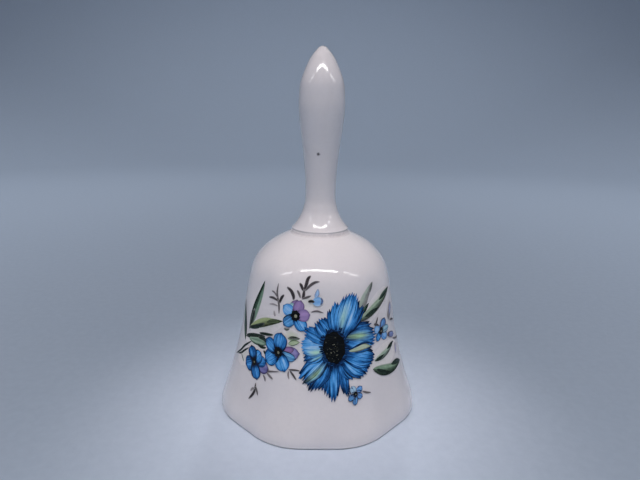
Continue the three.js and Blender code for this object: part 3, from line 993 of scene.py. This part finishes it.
def print_small_flowers(sheet, plum, seeds):
    Sheet.level = 30
    small_flower(plum, seeds, (-7.9, 42.3), [(84, 5.2, 4.2, 0.60, 0.9, 0)], 1)
    small_flower(
        sheet,
        seeds,
        (-7.9, 42.3),
        [
            (110, 4.4, 2.6, 0.75, 0.6, 0.1),
            (147, 5.1, 4.0, 0.72, 0.0, 0.05),
            (222, 5.5, 3.8, 0.52, 0.1, 0),
            (-58, 5.8, 4.0, 0.62, 0.0, 0),
        ],
    )
    round_petal(plum, (-7.9, 42.3), 70, 5.4, 3.6, 0.70, 0.9)
    round_petal(plum, (-7.9, 42.3), 6, 4.8, 4.0, 0.82, 0.9)
    disc(seeds, (-7.9, 42.3), 1.5, 1.7, 0, 0.1, 0.08)
    disc(seeds, (-7.8, 42.2), 0.5, 0.55, 0, 1.0, 0.1)

    Sheet.level = 38
    round_petal(plum, (-13.7, 29.5), 4, 7.4, 4.4, 0.66, 0.75)
    round_petal(plum, (-13.2, 30.0), 14, 5.2, 2.2, 0.60, 1.0)
    small_flower(
        sheet,
        seeds,
        (-13.8, 29.4),
        [
            (-12, 6.4, 3.0, 0.52, 0.2, 0),
            (-66, 6.3, 5.4, 0.58, 0.0, 0),
            (218, 7.0, 5.2, 0.52, 0.0, 0),
            (153, 6.3, 4.8, 0.46, 0.0, 0),
            (80, 6.8, 5.2, 0.50, 0.0, 0),
        ],
        1.5,
    )

    Sheet.level = 28
    round_petal(plum, (-25.0, 22.9), 0, 7.6, 4.6, 0.52, 0.7)
    small_flower(
        sheet,
        seeds,
        (-25.1, 22.9),
        [
            (18, 6.8, 3.6, 0.42, 0.0, 0),
            (48, 5.4, 4.4, 0.50, 0.0, 0),
            (112, 5.2, 4.6, 0.30, 0.0, 0),
            (207, 5.1, 4.8, 0.38, 0.0, 0),
            (-68, 5.6, 5.2, 0.38, 0.0, 0),
        ],
        1.1,
    )

    Sheet.level = 28
    small_flower(
        sheet,
        seeds,
        (24.3, 33.6),
        [
            (66, 4.6, 3.4, 0.36, 0.0, 0.1),
            (152, 4.4, 3.2, 0.70, 0.0, 0.1),
            (228, 3.9, 2.8, 0.46, 0.0, 0),
            (-48, 4.6, 3.0, 0.60, 0.0, 0.1),
            (4, 4.4, 2.8, 0.58, 0.4, 0.1),
        ],
        1.1,
    )
    round_petal(plum, (27.9, 31.4), -17, 5.0, 2.0, 0.50, 0.5, 0.1)
    round_petal(plum, (28.8, 36.4), 74, 6.0, 2.2, 0.42, 0.5, 0.3)
    brush_line(seeds, [(28.5, 36.7), (28.5, 38.2), (29.0, 40.0)], 0.8, 0.4, 0.25)
    round_petal(plum, (33.2, 26.9), -88, 3.6, 1.2, 0.60, 0.7, 0.3)

    Sheet.level = 54
    small_flower(
        sheet,
        seeds,
        (12.0, 16.8),
        [
            (40, 3.2, 2.3, 0.50, 0.0, 0.1),
            (118, 3.1, 2.2, 0.66, 0.3, 0.25),
            (-28, 3.0, 2.1, 0.46, 0.0, 0.1),
            (-92, 3.5, 2.0, 0.42, 0.1, 0.05),
            (214, 3.0, 2.2, 0.40, 0.1, 0.05),
        ],
        0.75,
    )
    chance = np.random.default_rng(5)
    for _ in range(16):
        place = chance.normal((12.0, 16.8), (1.3, 1.3))
        disc(sheet, tuple(place), chance.uniform(0.15, 0.3), 0.16, chance.uniform(0, 180), 0.05, 0.2)
    disc(sheet, (-0.8, 47.1), 1.6, 1.5, 0, 0.78, 0.02, 0, 0.1)
    leaf(sheet, (-1.6, 48.2), (-0.7, 51.2), 1.4, 0.8, 0, -0.2, 0, 0.3)
    brush_line(sheet, [(0.2, 48.4), (0.7, 47.2), (0.1, 46.0)], 0.7, 0.2, 0.1)
    brush_line(seeds, [(-3.9, 47.0), (-2.8, 47.2), (-1.8, 46.9)], 1.0, 0.2)


def print_big_flower(sheet, leaves, seeds):
    # lower petals first, then the upper ones over them
    Sheet.level = 48
    disc(sheet, (5.2, 32.2), 5.6, 7.2, 0, 0.22)
    fringed_petal(sheet, (6.0, 30.5), 285, 16.2, 1.3, 3, 0.30, deep=0.35)
    fringed_petal(sheet, (6.5, 30.0), 281, 14.0, 1.7, 3, 0.38, 0.1, deep=0.35)
    fringed_petal(sheet, (4.6, 30.5), 260, 14.2, 2.6, 4, 0.40, 0.15, deep=0.35)
    fringed_petal(sheet, (4.8, 30.0), 270, 15.6, 2.2, 4, 0.44, 0.28, deep=0.35)
    fringed_petal(sheet, (4.2, 30.5), 239, 14.8, 3.5, 6, 0.34, 0.2, deep=0.4)
    fringed_petal(sheet, (3.8, 30.5), 222, 14.0, 3.4, 5, 0.52, 0.25, 1.0, 0.3, 0.5, tint_at=(0.68, 0.5))
    fringed_petal(sheet, (3.0, 31.5), 207, 9.6, 2.3, 4, 0.50, 0.0, 0.7, deep=0.4)
    fringed_petal(sheet, (7.0, 29.5), -58, 9.2, 3.2, 5, 0.50, 0.1, deep=0.4, rag=0.7)
    fringed_petal(sheet, (6.5, 30.5), -37, 13.4, 4.2, 7, 0.54, 0.12, deep=0.45, rag=0.7)
    fringed_petal(sheet, (6.3, 30.8), -21, 15.2, 3.6, 6, 0.56, 0.12, 0, 0.2, 0.6, rag=0.6)
    fringed_petal(sheet, (6.5, 37.3), 0, 13.0, 2.4, 4, 0.34, bend=0.1, deep=0.3)
    fringed_petal(sheet, (6.3, 35.4), -11, 16.0, 4.3, 7, 0.58, 0.1, 1.3, 0, 0.45, tint_at=(0.42, 0.28))
    leaf(leaves, (9.6, 30.7), (18.4, 30.4), 2.4, 0.98, 0, 0.7, 0.2, 0.1, 0.1)
    brush_line(sheet, [(9.4, 31.0), (12.2, 31.9), (15.0, 32.4), (17.4, 31.8), (19.8, 30.4)], 0.8, 0.1, fade=0)
    brush_line(sheet, [(11.5, 29.9), (14.5, 29.6), (18.2, 29.6)], 0.6, 0.2, fade=0)
    fringed_petal(
        sheet, (3.4, 32.4), 178, 9.8, 3.9, 6, 0.80, 0.06, 0.7, root=0.12, rag=0.7, tint_at=(0.5, 0.6)
    )
    fringed_petal(sheet, (4.2, 33.4), 153, 11.2, 2.5, 4, 0.50, 0.1)
    fringed_petal(sheet, (4.6, 34.0), 127, 9.6, 3.4, 6, 0.44, 0.1)
    fringed_petal(sheet, (5.0, 35.0), 102, 10.2, 1.4, 3, 0.38)
    fringed_petal(sheet, (7.2, 35.3), 51, 12.6, 2.2, 4, 0.36, 0, 0.3)
    fringed_petal(sheet, (5.4, 35.0), 91, 12.6, 2.1, 4, 0.62, 0.12, deep=0.4)
    fringed_petal(sheet, (6.5, 34.5), 74, 16.4, 4.2, 8, 0.68, 0.2, 0.6, 0, 0.45)
    chance = np.random.default_rng(12)
    for turn in np.linspace(0, 2 * np.pi, 52, endpoint=False):
        out = np.array([3.5 * math.cos(turn + 0.1), 5.2 * math.sin(turn + 0.1)])
        tip = np.array((4.7, 32.3)) + out * chance.uniform(1.08, 1.45)
        brush_line(sheet, [tip - 0.5 * out, tip - 0.2 * out, tip], 0.6, 0.04, fade=0)
    disc(seeds, (4.7, 32.3), 3.5, 5.2, 6, 0.0, 0.035)
    for _ in range(34):
        place = chance.normal((4.3, 31.0), (1.4, 2.2))
        if math.hypot((place[0] - 4.7) / 3.0, (place[1] - 32.3) / 4.5) < 1:
            size = chance.uniform(0.10, 0.26)
            disc(seeds, tuple(place), size, 0.7 * size, 40 * place[0], chance.uniform(0.5, 0.85), 0.2)


def make_print():
    petals = ink_material("petal_ink", PETAL_INK, TEAL_TINT, 0.24, 3.0)
    plums = ink_material("plum_ink", PETAL_INK, PLUM_TINT, 0.10, 1.6)
    greens = ink_material("leaf_ink", LEAF_INK, OLIVE_TINT, 0.10, 1.8)
    browns = ink_material("sprig_ink", SPRIG_INK, PLUM_TINT, 0.10, 2.0)
    blacks = ink_material("seed_ink", SEED_INK, OLIVE_TINT, 0.25, 2.5)
    leaves = Sheet("print_leaves", greens)
    sprigs = Sheet("print_sprigs", browns)
    small = Sheet("print_small_flowers", petals)
    plum = Sheet("print_plum_petals", plums)
    big = Sheet("print_big_flower", petals)
    seeds = Sheet("print_seed_heads", blacks)
    print_washes(leaves)
    print_leaves(leaves)
    print_sprigs(sprigs)
    print_small_flowers(small, plum, seeds)
    print_big_flower(big, leaves, seeds)
    for sheet in (leaves, sprigs, small, plum, big, seeds):
        sheet.finish()


make_camera()
make_lights()
make_floor()
PORCELAIN = glaze_material("porcelain", GLAZE_WHITE, GLAZE_SHADE, BARE_Z, GLAZE_FAULT)
STEEL = steel_material()
make_shell()
make_handle()
make_seam()
make_cement()
make_hanger_eye()
make_chain()
make_clapper()
make_bead()
make_print()
